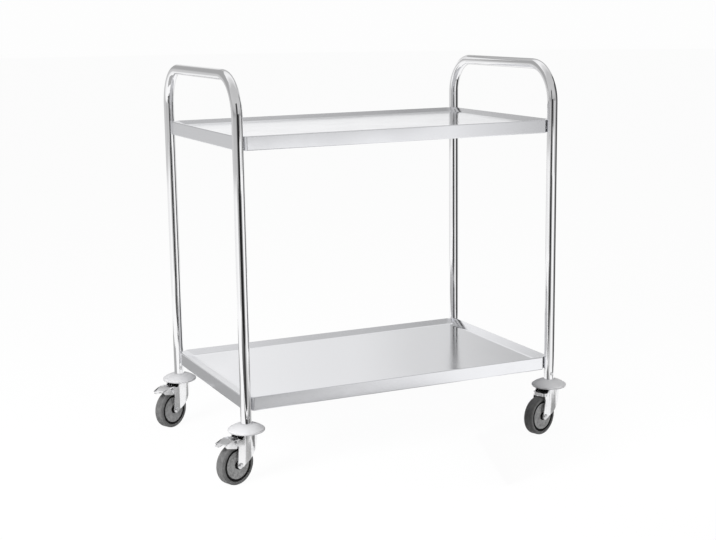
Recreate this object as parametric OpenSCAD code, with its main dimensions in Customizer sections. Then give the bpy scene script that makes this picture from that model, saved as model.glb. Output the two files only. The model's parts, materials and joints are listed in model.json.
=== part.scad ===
// Two-tier serving trolley: two bent-tube end frames carry two pressed sheet trays, and each
// leg stands on a plastic bumper disc and a swivel castor. The castors on the left have a brake.
// Front is -Y and left is -X. The origin is on the floor, under the middle of the trolley.

/* [End frames] */
// Height of the top of both push handles above the floor
overall_h = 923; // [860:1:980]
// Distance between the planes of the two end frames
leg_pitch_x = 805; // [600:1:1000]
// Distance between the two legs of one end frame
leg_pitch_y = 490; // [380:1:600]
// Outside diameter of the frame tube
tube_d = 25; // [24:0.5:28]
// Wall thickness of the frame tube
tube_wall = 1.2; // [1:0.1:1.5]
// Centreline radius of the handle bends
handle_bend_r = 90; // [60:1:120]

/* [Trays] */
// Height of the upper tray's rim above the floor
upper_tray_z = 780; // [650:1:800]
// Height of the lower tray's rim above the floor
lower_tray_z = 191.5; // [180:0.5:260]
// Height of the tray's outer face
tray_face_h = 32; // [28:0.5:38]
// Thickness of the tray sheet
sheet_t = 1; // [0.8:0.1:1.5]
// How far the tray's end faces stand outside the tube axes
tray_overhang_x = 1.5; // [0:0.1:4]
// How far the tray's long faces stand outside the tube axes
tray_overhang_y = 2.5; // [0:0.1:4]
// Width of the sloping band round the deck
rim_band_w = 31; // [20:0.5:45]
// How far the deck lies below the rim
rim_drop = 9; // [5:0.5:14]
// Width of the narrow flat edge at the top of the outer face
rim_flat = 1.5; // [1.2:0.1:3]
// Width of the return fold along the foot of the outer face
hem_w = 9; // [5:0.5:12]
// Gap between a tray corner and its tube
corner_gap = 0.2; // [0.1:0.05:0.3]

/* [Tray stiffeners] */
// Width of the channel of a stiffener under the deck
channel_w = 50; // [30:1:80]
// Depth of the channel
channel_h = 14; // [8:0.5:18]
// Width of each welded flange beside the channel
channel_flange = 14; // [8:1:20]
// Thickness of the stiffener sheet
channel_t = 1.2; // [0.8:0.1:2]
// Distance between the two stiffeners of a tray
channel_pitch = 220; // [140:1:260]
// Distance from the end of a stiffener to the tray's end face
channel_end_gap = 50; // [40:1:120]

/* [Tray bolts] */
// Diameter of the bolts that hold the tray corners
bolt_d = 6; // [5:0.5:6]
// Distance of the bolts below the rim
bolt_drop = 20; // [17:0.5:22]
// Diameter of the bolt head
bolt_head_d = 10.5; // [9:0.5:12]
// Height of the bolt head
bolt_head_h = 3.6; // [2.5:0.1:5]
// Outside diameter of the washer
washer_d = 12; // [11:0.5:14]
// Thickness of the washer
washer_t = 1.2; // [0.8:0.1:2]
// Outside diameter of the threaded insert in the tube wall
insert_d = 9; // [8:0.5:9.5]
// Depth that the threaded insert reaches in from the tube surface
insert_len = 9; // [7:0.5:9.5]

/* [Bumpers] */
// Diameter of a bumper disc
bumper_d = 85; // [70:1:100]
// Height of the underside of a bumper above the floor
bumper_z = 115; // [114:0.5:120]
// Height of the bumper's widest edge above its underside
bumper_edge_h = 4; // [3:0.5:6]
// Whole height of a bumper
bumper_h = 18.5; // [16:0.5:24]
// How far the bumper's top bulges out of a straight cone
bumper_bulge = 1.1; // [0:0.1:3]
// Thickness of the bumper's floor, on which the tube stands
bumper_floor = 5; // [3:0.5:7]
// Gap between the bumper's socket and the tube
socket_gap = 0.15; // [0.1:0.05:0.3]

/* [Castor stem] */
// Height of the castor's spigot above the bumper's underside
spigot_h = 49; // [42:1:49]
// Gap between the spigot and the inside of the tube
spigot_gap = 0.2; // [0.1:0.05:0.3]
// Height of the cross screw above the floor
cross_screw_z = 149; // [142:0.5:152]
// Diameter of the cross screw
cross_screw_d = 5; // [4:0.5:6]
// Diameter of the cross screw's head
cross_screw_head_d = 8.4; // [7:0.1:10]
// Gap between the edge of the stem's bearing plate and the dust cap's skirt
stem_plate_gap = 0.5; // [0.3:0.1:1]
// Thickness of the stem's bearing plate
stem_plate_t = 1.5; // [1.2:0.1:2.5]
// Diameter of the kingpin
kingpin_d = 10; // [8:0.5:12]
// Running gap round the kingpin
kingpin_gap = 0.08; // [0.03:0.01:0.1]
// Diameter of the kingpin's riveted head
kingpin_head_d = 18; // [15:0.5:20]
// Thickness of the kingpin's riveted head
kingpin_head_t = 3; // [2:0.1:4]
// Gap between the dust cap over the bearing and the fork's collar
dust_cap_side_gap = 0.5; // [0.4:0.1:1]
// Thickness of the dust cap's top
dust_cap_t = 1.5; // [1:0.1:2]
// Gap between the dust cap's skirt and the fork
dust_cap_gap = 0.8; // [0.5:0.1:2]

/* [Swivel bearing] */
// Diameter of the bearing balls
ball_d = 6.2; // [5:0.1:7]
// Width of the bearing plate's edge outside the balls
race_edge = 0.9; // [0.5:0.1:1.5]
// Gap above and below the balls
ball_gap = 0.15; // [0.1:0.01:0.2]

/* [Fork] */
// Radius of the fork's round crown
crown_r = 28; // [26:0.5:32]
// How far the crown's centre stands ahead of the swivel axis
crown_shift = 5; // [4:0.5:8]
// Thickness of the fork sheet
fork_t = 2.5; // [2:0.1:3]
// Half of the width across the fork's flat wings
wing_half = 20.5; // [20:0.5:23]
// Distance from the swivel axis to the front of the fork's cap
cap_front = 40.5; // [39:0.5:42]
// Radius of the cap's front corners
cap_corner_r = 9; // [5:0.5:11]
// Height of the band round the cap
cap_band_h = 8; // [6:0.5:9]
// Gap between the collar round the bearing and the bumper
collar_gap = 1; // [0.8:0.1:2]
// Height of the fork's rear band
rear_band_h = 7; // [5:0.5:10]
// Radius of the long curve of a leg's rear edge
leg_curve_r = 150; // [100:5:200]
// Radius of the rounded foot of a leg
leg_foot_r = 7.5; // [7:0.5:9]

/* [Wheel] */
// Diameter of a wheel
wheel_d = 94; // [90:1:95]
// Width of the tyre
tyre_w = 25; // [22:0.5:26]
// Distance from the swivel axis to the wheel's axle
trail = 37.5; // [36:0.5:39]
// Height of the tyre's side, from its inner lip to the tread
tyre_side_h = 8.5; // [8:0.5:11]
// Depth of the shoulder between the tread and the side of the tyre
tyre_shoulder = 5; // [3:0.5:6]
// Radius of the wheel centre's hub
hub_r = 9.5; // [9:0.5:11]
// Radius of the fixed sleeve on which the wheel turns
sleeve_r = 6.5; // [6:0.5:7.5]
// Running gap between the wheel's hub and the sleeve
wheel_gap = 0.08; // [0.03:0.01:0.1]
// Diameter of the axle bolt
axle_d = 8; // [6:0.5:9]
// Width of the dark gap between a wheel cover and the tyre
cover_gap = 4.2; // [3:0.1:5]

/* [Brake] */
// Distance from the swivel axis to the brake pin
brake_pin_t = 45; // [43:0.5:47]
// Height of the brake pin above the floor
brake_pin_z = 101.5; // [100:0.5:102.5]
// Diameter of the brake pin
brake_pin_d = 6; // [5:0.5:7]
// Running gap round the brake pin
brake_pin_gap = 0.08; // [0.03:0.01:0.1]
// Thickness of the pedal sheet
pedal_t = 1.6; // [1.2:0.1:2]
// Distance from the swivel axis to the tip of the pedal
pedal_reach = 91; // [85:1:98]
// Half of the width of the pedal near its tip
pedal_tip_half = 6.5; // [5:0.5:9]
// Diameter of the bar that presses on the tyre
brake_bar_d = 6; // [5:0.5:7]

/* [Castor angles] */
// Angle that the front left castor is turned from trailing straight left
turn_front_left = 21.5; // [-90:0.5:90]
// Angle that the rear left castor is turned from trailing straight left
turn_rear_left = 30; // [-90:0.5:90]
// Angle that the front right castor is turned from trailing straight left
turn_front_right = 19.5; // [-90:0.5:90]
// Angle that the rear right castor is turned from trailing straight left
turn_rear_right = -30; // [-90:0.5:90]

/* [Hidden] */
$fn = 64;

// Small overlap that lets a cut run past the surface it opens
cut = 0.5;

// Castor row: side along X, side along Y, turn, has a brake
FRONT_LEFT = [-1, -1, turn_front_left, true];
REAR_LEFT = [-1, 1, turn_rear_left, true];
FRONT_RIGHT = [1, -1, turn_front_right, false];
REAR_RIGHT = [1, 1, turn_rear_right, false];

leg_x = leg_pitch_x / 2;
leg_y = leg_pitch_y / 2;
tube_r = tube_d / 2;
tube_bore_r = tube_r - tube_wall;

// The castor pedals reach further left than the bumpers reach right, so the trolley is
// moved by half of the difference to keep the origin under its middle
pedal_reach_left = pedal_reach * cos(turn_front_left);
shift_x = (pedal_reach_left - bumper_d / 2) / 2;

handle_axis_z = overall_h - tube_r;
bend_start_z = handle_axis_z - handle_bend_r;
tube_foot_z = bumper_z + bumper_floor;

tray_half_x = leg_x + tray_overhang_x;
tray_half_y = leg_y + tray_overhang_y;
// Distance from the tray's middle to the face that cuts off each corner
tray_corner_reach = (leg_x + leg_y) / sqrt(2) - tube_r - corner_gap;
tray_skirt_x = tube_r + corner_gap;
band_slope = (rim_band_w - rim_flat) / rim_drop;

bolt_hole_r = bolt_d / 2 + 0.3;
bolt_shank_r = bolt_d / 2 - 0.1;
insert_hole_r = insert_d / 2 + 0.05;
insert_collar_r = insert_d / 2 + 1.4;
insert_collar_x = sqrt(pow(tube_bore_r, 2) - pow(insert_collar_r, 2)) - 0.2;
insert_collar_t = 1.4;

spigot_r = tube_bore_r - spigot_gap;
spigot_hole_gap = 0.2;
spigot_top_z = min(bumper_z + spigot_h, lower_tray_z - bolt_drop - insert_d / 2 - 2);
cross_screw_reach = 9;
cross_screw_head_h = 2;

dust_cap_top_z = bumper_z;
stem_plate_z = dust_cap_top_z - dust_cap_t - stem_plate_t;
crown_top_z = stem_plate_z - ball_d - 2 * ball_gap;
crown_under_z = crown_top_z - fork_t;
collar_top_z = bumper_z - collar_gap;
kingpin_head_gap = 0.2;
// The dust cap doesn't turn with the fork, so it fits inside the collar's nearest point
dust_cap_r = crown_r - fork_t - crown_shift - dust_cap_side_gap;
stem_plate_r = dust_cap_r - dust_cap_t - stem_plate_gap;
ball_ring_r = stem_plate_r - race_edge - ball_d / 2;
ball_count = floor(360 / (2 * asin(ball_d / 2 / ball_ring_r) * 1.12));

wheel_r = wheel_d / 2;
axle_z = wheel_r;
tyre_lip_r = wheel_r - tyre_side_h;
// Where the round crown meets the flat wings
wing_start = crown_shift + sqrt(pow(crown_r, 2) - pow(wing_half, 2));
collar_front = wing_start - 1.5;
collar_foot = wing_start + 6;
fork_gap_half = wing_half - fork_t;
open_front = cap_front - cap_corner_r;
sleeve_half = fork_gap_half - 0.1;
axle_hole_r = axle_d / 2 + 0.1;
axle_head_r = axle_d * 0.8;
axle_head_h = 3;
axle_nut_r = axle_d * 0.85;
axle_nut_h = 5;

rim_r = tyre_lip_r - 3.3;
rim_flange_r = tyre_lip_r - 0.3;
rim_flange_in = 6.5;
rim_flange_out = 8.7;
rim_t = 2;
web_t = 6;
tyre_seat_gap = 0.15;
hub_half = sleeve_half - 3.5;
cover_r = tyre_lip_r - cover_gap;
cover_hub_gap = 0.3;
cover_edge = rim_flange_out + 0.2;
cover_face = tyre_w / 2 - 0.4;
cover_t = 2;

brake_pin_r = brake_pin_d / 2;
ear_r = brake_pin_r + 3;
pedal_half = fork_gap_half - 0.3;
pedal_top_z = brake_pin_z + ear_r + pedal_t;

// Points of an arc round a centre, from one angle to another
function arc(cx, cy, r, from, to, steps) =
    [for (i = [0 : steps]) let (a = from + (to - from) * i / steps) [cx + r * cos(a), cy + r * sin(a)]];

// Outline of a tray, drawn in from its outer edge: a rectangle with its corners cut off
function tray_outline(inset) =
    let (x = tray_half_x - inset, y = tray_half_y - inset,
         k = (tray_corner_reach - inset) * sqrt(2))
    [[x, k - x], [k - y, y], [y - k, y], [-x, k - x], [-x, x - k], [y - k, -y], [k - y, -y], [x, x - k]];

// Puts its children on all four leg axes
module at_legs() {
    for (sx = [-1, 1], sy = [-1, 1]) translate([sx * leg_x, sy * leg_y, 0]) children();
}

// Puts its children on all four leg axes, with +X pointing diagonally under the tray
module at_corners(z) {
    for (sx = [-1, 1], sy = [-1, 1])
        translate([sx * leg_x, sy * leg_y, z]) rotate([0, 0, atan2(-sy, -sx)]) children();
}

// Frame of one castor: +X trails from the swivel axis to the axle, +Y runs along the axle
module at_castor(c) {
    translate([shift_x + c[0] * leg_x, c[1] * leg_y, 0]) rotate([0, 0, 180 + c[2]]) children();
}

// Frame of one leg, not turned with its castor
module at_leg(c) {
    translate([shift_x + c[0] * leg_x, c[1] * leg_y, 0]) children();
}

// Lays a turned part on the wheel's axle
module on_axle() {
    translate([trail, 0, axle_z]) rotate([-90, 0, 0]) children();
}

// Solid rod along one end frame: two legs, two bends and the handle bar
module frame_rod(r, foot_z) {
    bar_half = leg_y - handle_bend_r;
    for (side = [0, 1]) mirror([0, side, 0]) {
        translate([0, leg_y, foot_z]) cylinder(h = bend_start_z - foot_z, r = r);
        translate([0, bar_half, bend_start_z]) rotate([90, 0, 90])
            rotate_extrude(angle = 90) translate([handle_bend_r, 0]) circle(r = r);
    }
    translate([0, -bar_half, handle_axis_z]) rotate([-90, 0, 0]) cylinder(h = 2 * bar_half, r = r);
}

// One end frame: a bent tube with holes for the tray inserts and the castor screws
module end_frame(side) {
    color("silver") translate([shift_x, 0, 0]) difference() {
        translate([side * leg_x, 0, 0]) difference() {
            frame_rod(tube_r, tube_foot_z);
            frame_rod(tube_bore_r, tube_foot_z - cut);
        }
        for (z = [upper_tray_z - bolt_drop, lower_tray_z - bolt_drop])
            at_corners(z) rotate([0, 90, 0]) cylinder(h = 2 * tube_r, r = insert_hole_r);
        at_legs() translate([0, 0, cross_screw_z]) rotate([90, 0, 0])
            cylinder(h = 2 * tube_r, r = cross_screw_d / 2 + spigot_hole_gap);
    }
}

// Straight prism on the tray's outline
module tray_prism(inset, z0, z1) {
    translate([0, 0, z0]) linear_extrude(z1 - z0) polygon(tray_outline(inset));
}

// Bar whose two long sides slope out at the slope of the tray's band
module sloping_bar(reach, deck_z) {
    low = reach - rim_band_w;
    rise = rim_drop + cut;
    rotate([90, 0, 0]) linear_extrude(4 * leg_x, center = true)
        polygon([[-low, deck_z], [low, deck_z],
                 [low + rise * band_slope, deck_z + rise], [-low - rise * band_slope, deck_z + rise]]);
}

// The tray's pocket: eight sloping sides round a flat deck
module tray_pocket(deck_z) {
    intersection() {
        sloping_bar(tray_half_x, deck_z);
        rotate([0, 0, 90]) sloping_bar(tray_half_y, deck_z);
        rotate([0, 0, 45]) sloping_bar(tray_corner_reach, deck_z);
        rotate([0, 0, -45]) sloping_bar(tray_corner_reach, deck_z);
    }
}

// One tray, pressed from sheet: deck, sloping band, outer face and return fold
module tray(top_z) {
    deck_z = top_z - rim_drop;
    foot_z = top_z - tray_face_h;
    color("gainsboro") translate([shift_x, 0, 0]) difference() {
        tray_prism(0, foot_z, top_z);
        tray_pocket(deck_z);
        difference() {
            union() {
                tray_prism(sheet_t, foot_z + sheet_t, top_z - sheet_t);
                tray_prism(hem_w, foot_z - cut, foot_z + sheet_t);
            }
            translate([0, 0, -sheet_t]) tray_pocket(deck_z);
        }
        at_corners(top_z - bolt_drop) translate([tube_r, 0, 0]) rotate([0, 90, 0])
            cylinder(h = hem_w / 2, r = bolt_hole_r);
    }
}

// The two channel stiffeners welded under one deck
module tray_stiffeners(top_z) {
    length = 2 * (tray_half_x - channel_end_gap);
    top = top_z - rim_drop - sheet_t;
    outer = channel_w / 2;
    wide = outer + channel_flange;
    inner = outer - channel_t;
    color("gainsboro") for (side = [-1, 1])
        translate([shift_x - length / 2, side * channel_pitch / 2, top]) rotate([90, 0, 90])
            linear_extrude(length)
            polygon([[-wide, 0], [-inner, 0], [-inner, channel_t - channel_h],
                     [inner, channel_t - channel_h], [inner, 0], [wide, 0],
                     [wide, -channel_t], [outer, -channel_t], [outer, -channel_h],
                     [-outer, -channel_h], [-outer, -channel_t], [-wide, -channel_t]]);
}

// The four bolts and washers of one tray
module tray_bolts(top_z) {
    seat = tray_skirt_x + sheet_t;
    color("silver") translate([shift_x, 0, 0]) at_corners(top_z - bolt_drop) rotate([0, 90, 0]) {
        difference() {
            translate([0, 0, seat]) cylinder(h = washer_t, d = washer_d);
            cylinder(h = 2 * tube_d, r = bolt_hole_r);
        }
        translate([0, 0, seat + washer_t]) cylinder(h = bolt_head_h, d = bolt_head_d, $fn = 6);
        translate([0, 0, tube_r - insert_len]) cylinder(h = seat + washer_t - tube_r + insert_len, r = bolt_shank_r);
    }
}

// The threaded inserts pressed into the legs, two in each
module tube_inserts() {
    color("silver") translate([shift_x, 0, 0])
        for (z = [upper_tray_z - bolt_drop, lower_tray_z - bolt_drop])
            at_corners(z) rotate([0, 90, 0]) difference() {
                union() {
                    translate([0, 0, tube_r - insert_len]) cylinder(h = insert_len - 0.1, d = insert_d);
                    translate([0, 0, insert_collar_x - insert_collar_t])
                        cylinder(h = insert_collar_t, r = insert_collar_r);
                }
                cylinder(h = 2 * tube_r, d = bolt_d);
            }
}

// The four screws that hold the castor stems in the legs
module cross_screws() {
    color("silver") translate([shift_x, 0, 0]) at_legs() translate([0, 0, cross_screw_z])
        rotate([90, 0, 0]) {
            translate([0, 0, tube_r - cross_screw_reach])
                cylinder(h = cross_screw_reach + 0.1, d = cross_screw_d);
            translate([0, 0, tube_r + 0.1])
                cylinder(h = cross_screw_head_h, d1 = cross_screw_head_d, d2 = cross_screw_head_d - 2.5);
        }
}

// One bumper disc with the socket for the foot of the leg
module bumper(c) {
    socket_r = tube_r + socket_gap;
    lip_r = socket_r + 1.2;
    edge_r = bumper_d / 2;
    span = [edge_r - lip_r, bumper_h - bumper_edge_h];
    steps = 8;
    top = [for (i = [0 : steps]) let (k = i / steps)
        [edge_r - k * span[0], bumper_edge_h + k * span[1] + 4 * bumper_bulge * k * (1 - k)]];
    color("lightgray") at_leg(c) translate([0, 0, bumper_z]) rotate_extrude()
        polygon(concat(
            [[spigot_r + spigot_hole_gap, 0]],
            arc(edge_r - bumper_edge_h, bumper_edge_h, bumper_edge_h, -90, -15, 5),
            top,
            [[socket_r, bumper_h], [socket_r, bumper_floor], [spigot_r + spigot_hole_gap, bumper_floor]]));
}

// One castor stem: spigot, bearing plate and kingpin with its riveted head
module stem(c) {
    head_top_z = crown_under_z - kingpin_head_gap;
    color("silver") at_leg(c) difference() {
        union() {
            translate([0, 0, stem_plate_z]) cylinder(h = stem_plate_t, r = stem_plate_r);
            translate([0, 0, stem_plate_z + stem_plate_t])
                cylinder(h = spigot_top_z - stem_plate_z - stem_plate_t - 2, r = spigot_r);
            translate([0, 0, spigot_top_z - 2]) cylinder(h = 2, r1 = spigot_r, r2 = spigot_r - 2);
            translate([0, 0, head_top_z]) cylinder(h = stem_plate_z - head_top_z, d = kingpin_d);
            translate([0, 0, head_top_z - kingpin_head_t])
                cylinder(h = kingpin_head_t, d1 = kingpin_head_d - 3, d2 = kingpin_head_d);
        }
        translate([0, 0, cross_screw_z]) rotate([90, 0, 0]) translate([0, 0, tube_r - cross_screw_reach - 1])
            cylinder(h = cross_screw_reach + 1, r = cross_screw_d / 2 + 0.05);
    }
}

// One dust cap between the bumper and the stem's bearing plate
module dust_cap(c) {
    cap_r = dust_cap_r;
    low = crown_top_z + dust_cap_gap - dust_cap_top_z;
    color("dimgray") at_leg(c) translate([0, 0, dust_cap_top_z]) rotate_extrude()
        polygon([[spigot_r + spigot_hole_gap, -dust_cap_t], [spigot_r + spigot_hole_gap, 0],
                 [cap_r - 1, 0], [cap_r, -1], [cap_r, low], [cap_r - dust_cap_t, low],
                 [cap_r - dust_cap_t, -dust_cap_t]]);
}

// Points of a long curve of one radius between two points
function bow(a, b, r, steps) =
    let (d = b - a, l = norm(d), c = (a + b) / 2 + sqrt(r * r - l * l / 4) * [-d[1], d[0]] / l)
    arc(c[0], c[1], r, atan2(a[1] - c[1], a[0] - c[0]), atan2(b[1] - c[1], b[0] - c[0]), steps);

// Plan of the fork's walls: a round rear that runs on into two flat wings
module wall_plan(inset) {
    translate([crown_shift, 0]) circle(r = crown_r - inset);
    translate([crown_shift, inset - wing_half])
        square([trail + leg_foot_r - crown_shift, 2 * (wing_half - inset)]);
}

// Plan of the fork's cap: the round rear and a front with rounded corners
module cap_plan(inset) {
    side = wing_half - cap_corner_r;
    translate([crown_shift, 0]) circle(r = crown_r - inset);
    translate([crown_shift, inset - wing_half])
        square([cap_front - cap_corner_r - crown_shift, 2 * (wing_half - inset)]);
    translate([crown_shift, -side]) square([cap_front - inset - crown_shift, 2 * side]);
    for (y = [-side, side]) translate([cap_front - cap_corner_r, y]) circle(r = cap_corner_r - inset);
}

// Side view of the fork's walls: the collar round the bearing, the rear band and a leg
module leg_side(braked) {
    rear_z = crown_top_z - rear_band_h;
    front = trail + leg_foot_r;
    foot = arc(trail, axle_z, leg_foot_r, 215, 360, 8);
    rear = bow([crown_shift - 16, rear_z], [trail - leg_foot_r - 1.5, axle_z - 4.5], leg_curve_r, 12);
    ear = arc(brake_pin_t, brake_pin_z, ear_r, -35, 100, 8);
    polygon(concat(
        [[crown_shift - crown_r - 1, collar_top_z], [crown_shift - crown_r - 1, rear_z]],
        rear, foot,
        braked ? concat([[cap_front + 1.5, brake_pin_z - ear_r - 3]], ear, [[open_front - 1, crown_top_z]])
               : [[cap_front - 3.5, crown_top_z - cap_band_h - 5], [cap_front - 4.5, crown_top_z - cap_band_h],
                  [open_front - 1, crown_under_z]],
        [[collar_foot, crown_top_z - 1], [collar_front, collar_top_z]]));
}

// Walls and legs of one fork, and the collar that runs on above its cap
module fork_walls(braked) {
    difference() {
        intersection() {
            linear_extrude(collar_top_z + 1) wall_plan(0);
            rotate([90, 0, 0]) linear_extrude(4 * crown_r, center = true) leg_side(braked);
        }
        translate([0, 0, -cut]) linear_extrude(collar_top_z + 2) wall_plan(fork_t);
        translate([crown_shift, -fork_gap_half, -cut]) cube([4 * crown_r, 2 * fork_gap_half, collar_top_z + 2]);
    }
}

// Cap of one fork: the plate that carries the balls, and the band round it
module fork_cap(braked) {
    open_t = braked ? open_front : cap_front + 1;
    intersection() {
        union() {
            translate([0, 0, crown_under_z]) linear_extrude(fork_t) cap_plan(0);
            translate([0, 0, crown_top_z - cap_band_h]) linear_extrude(cap_band_h - fork_t) difference() {
                cap_plan(0);
                cap_plan(fork_t);
            }
        }
        translate([-crown_r - cut, -crown_r - cut, 0]) cube([open_t + crown_r + cut, 2 * crown_r + 1, crown_top_z + cut]);
    }
}

// One fork, pressed from sheet
module fork(c) {
    color("silver") at_castor(c) difference() {
        union() {
            fork_cap(c[3]);
            fork_walls(c[3]);
        }
        translate([0, 0, crown_under_z - cut]) cylinder(h = fork_t + 2 * cut, r = kingpin_d / 2 + kingpin_gap);
        on_axle() cylinder(h = 4 * wing_half, r = axle_hole_r, center = true);
        if (c[3]) translate([brake_pin_t, 0, brake_pin_z]) rotate([90, 0, 0])
            cylinder(h = 4 * wing_half, r = brake_pin_r + brake_pin_gap, center = true);
    }
}

// One ring of balls between the crown and the stem's bearing plate
module balls(c) {
    color("silver") at_castor(c) for (i = [0 : ball_count - 1]) rotate([0, 0, i * 360 / ball_count])
        translate([ball_ring_r, 0, crown_top_z + ball_gap + ball_d / 2]) sphere(d = ball_d);
}

// One axle bolt with a low round head
module axle_bolt(c) {
    color("silver") at_castor(c) on_axle() {
        translate([0, 0, -wing_half - axle_nut_h - 2])
            cylinder(h = 2 * wing_half + axle_nut_h + 2, d = axle_d);
        translate([0, 0, wing_half]) cylinder(h = 1.2, r = axle_head_r);
        translate([0, 0, wing_half + 1.2])
            cylinder(h = axle_head_h - 1.2, r1 = axle_head_r, r2 = axle_head_r - 2);
    }
}

// One axle nut
module axle_nut(c) {
    color("silver") at_castor(c) on_axle() translate([0, 0, -wing_half - axle_nut_h]) difference() {
        cylinder(h = axle_nut_h, r = axle_nut_r, $fn = 6);
        translate([0, 0, -cut]) cylinder(h = axle_nut_h + 2 * cut, r = axle_d / 2 + 0.05);
    }
}

// One steel sleeve, clamped between the fork's legs
module sleeve(c) {
    color("silver") at_castor(c) on_axle() difference() {
        cylinder(h = 2 * sleeve_half, r = sleeve_r, center = true);
        cylinder(h = 2 * sleeve_half + 2 * cut, r = axle_hole_r, center = true);
    }
}

// One wheel centre: hub, web and flanged rim
module wheel_centre(c) {
    color("dimgray") at_castor(c) on_axle() rotate_extrude()
        polygon([[sleeve_r + wheel_gap, -hub_half], [hub_r, -hub_half], [hub_r, -web_t / 2],
                 [rim_r - rim_t, -web_t / 2], [rim_r - rim_t, -rim_flange_out], [rim_flange_r, -rim_flange_out],
                 [rim_flange_r, -rim_flange_in], [rim_r, -rim_flange_in],
                 [rim_r, rim_flange_in], [rim_flange_r, rim_flange_in],
                 [rim_flange_r, rim_flange_out], [rim_r - rim_t, rim_flange_out], [rim_r - rim_t, web_t / 2],
                 [hub_r, web_t / 2], [hub_r, hub_half], [sleeve_r + wheel_gap, hub_half]]);
}

// Half of the tyre's section, as radius and distance from the wheel's middle
function tyre_half() = concat(
    [[rim_r + tyre_seat_gap, 0],
     [rim_r + tyre_seat_gap, rim_flange_in - tyre_seat_gap],
     [tyre_lip_r, rim_flange_in - tyre_seat_gap],
     [tyre_lip_r, tyre_w / 2 - 1], [tyre_lip_r + 1, tyre_w / 2]],
    [for (p = arc(wheel_r - tyre_shoulder, 0, 1, 90, 0, 6))
        [wheel_r - tyre_shoulder + (p[0] - wheel_r + tyre_shoulder) * tyre_shoulder,
         tyre_w / 2 - tyre_shoulder + p[1] * tyre_shoulder]],
    [[wheel_r, 0]]);

// One solid rubber tyre
module tyre(c) {
    half = tyre_half();
    last = len(half) - 1;
    color("gray") at_castor(c) on_axle() rotate_extrude()
        polygon(concat([for (i = [1 : last - 1]) half[i]],
                       [for (i = [last - 1 : -1 : 1]) [half[i][0], -half[i][1]]]));
}

// The two dished covers of one wheel
module wheel_covers(c) {
    inner = hub_r + cover_hub_gap;
    color("darkgray") at_castor(c) on_axle() for (side = [0, 1]) mirror([0, 0, side]) rotate_extrude()
        polygon([[inner, cover_face - cover_t], [inner, cover_face], [hub_r + 5, cover_face],
                 [cover_r - 5, cover_face - 1], [cover_r, cover_edge + 0.8], [cover_r, cover_edge],
                 [cover_r - 6, cover_edge]]);
}

// Side view of one pedal cheek
module cheek_side() {
    polygon(concat(
        arc(brake_pin_t, brake_pin_z, ear_r, 100, 215, 6),
        [[brake_pin_t, brake_pin_z - 14], [brake_pin_t + 30, brake_pin_z - 7],
         [brake_pin_t + 34, pedal_top_z - 8], [brake_pin_t + 16, pedal_top_z - pedal_t],
         [brake_pin_t, pedal_top_z - pedal_t]]));
}

// Side view of the pedal's bent top plate
module plate_side() {
    back = brake_pin_t - 6;
    mid = brake_pin_t + 10;
    bend = brake_pin_t + 28;
    tip_z = brake_pin_z - 1;
    polygon([[back, pedal_top_z - 0.5], [mid, pedal_top_z], [bend, pedal_top_z - 6],
             [pedal_reach, tip_z], [pedal_reach - 0.2, tip_z - pedal_t],
             [bend - 0.3, pedal_top_z - 6 - pedal_t], [mid - 0.3, pedal_top_z - pedal_t],
             [back, pedal_top_z - 0.5 - pedal_t]]);
}

// Plan of the pedal: as wide as the fork allows at the pin, narrower towards the tip
module pedal_plan() {
    neck = brake_pin_t + 9;
    end = brake_pin_t + 30;
    round_r = 4;
    translate([brake_pin_t - ear_r - 1, -pedal_half]) square([neck - brake_pin_t + ear_r + 1, 2 * pedal_half]);
    polygon([[neck - 0.1, -pedal_half], [neck, -pedal_half], [end, -pedal_tip_half - 5],
             [end + 4, -pedal_tip_half], [end + 4, pedal_tip_half],
             [end, pedal_tip_half + 5], [neck, pedal_half], [neck - 0.1, pedal_half]]);
    translate([end, -pedal_tip_half])
        square([pedal_reach - round_r - end, 2 * pedal_tip_half]);
    translate([end, round_r - pedal_tip_half])
        square([pedal_reach - end, 2 * (pedal_tip_half - round_r)]);
    for (side = [-1, 1])
        translate([pedal_reach - round_r, side * (pedal_tip_half - round_r)]) circle(r = round_r);
}

// One brake pedal: bent plate, two cheeks on the pin and the bar that presses on the tyre
module brake_pedal(c) {
    bar_t = brake_pin_t + 17;
    bar_z = brake_pin_z - 6.5;
    color("silver") at_castor(c) difference() {
        union() {
            intersection() {
                rotate([90, 0, 0]) linear_extrude(2 * pedal_half, center = true) plate_side();
                linear_extrude(2 * crown_top_z) pedal_plan();
            }
            for (side = [0, 1]) mirror([0, side, 0]) translate([0, pedal_half, 0])
                rotate([90, 0, 0]) linear_extrude(pedal_t) cheek_side();
            translate([bar_t, 0, bar_z]) rotate([90, 0, 0])
                cylinder(h = 2 * pedal_half - pedal_t, d = brake_bar_d, center = true);
        }
        translate([brake_pin_t, 0, brake_pin_z]) rotate([90, 0, 0])
            cylinder(h = 4 * wing_half, r = brake_pin_r + brake_pin_gap, center = true);
    }
}

// One brake pin with a head on each side of the fork
module brake_pin(c) {
    head_r = brake_pin_r + 1.6;
    head_t = 1.4;
    color("silver") at_castor(c) translate([brake_pin_t, 0, brake_pin_z]) rotate([90, 0, 0]) {
        cylinder(h = 2 * wing_half + 0.2, r = brake_pin_r, center = true);
        for (side = [0, 1]) mirror([0, 0, side]) translate([0, 0, wing_half + 0.1])
            cylinder(h = head_t, r1 = head_r, r2 = head_r - 1);
    }
}

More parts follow.
